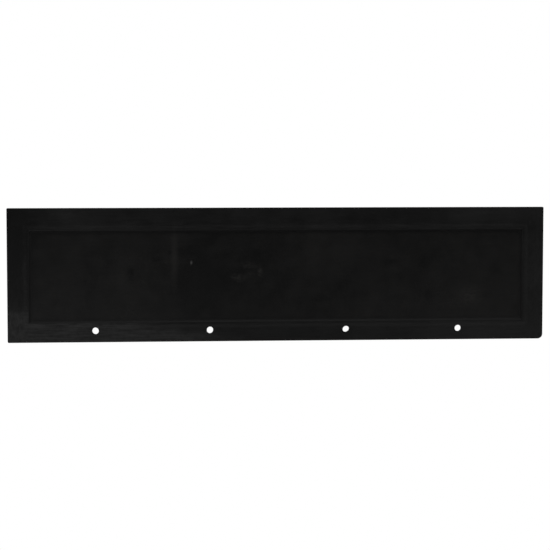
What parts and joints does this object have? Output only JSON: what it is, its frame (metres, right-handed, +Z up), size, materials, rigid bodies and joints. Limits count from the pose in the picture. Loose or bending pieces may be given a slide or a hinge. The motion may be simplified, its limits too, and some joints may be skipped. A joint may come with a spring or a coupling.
{
  "type": "atv plow blade rubber flap",
  "caption": "Flat rubber snow flap with a raised border, a recessed panel and a row of bolt holes along its lower edge, for the top of a small plow blade.",
  "frame": {"origin": "on the back face, midway along the row of bolt holes, at the height of their centres", "axes": "+X along the flap, to the right seen from the front; +Y out of the back face, towards the plow blade; +Z up the flap, away from the bolt holes"},
  "size_m": [1.2, 0.0095, 0.298],
  "materials": {
    "cover_rubber": "matt press-moulded black rubber",
    "gum_rubber": "matt black gum between the plies",
    "ply_fabric": "dipped woven nylon, seen only at the cut edges"
  },
  "bodies": {
    "root": {"front_cover": "cover_rubber", "front_ply": "ply_fabric", "skim_gum": "gum_rubber", "back_ply": "ply_fabric", "back_cover": "cover_rubber"}
  },
  "joints": []
}
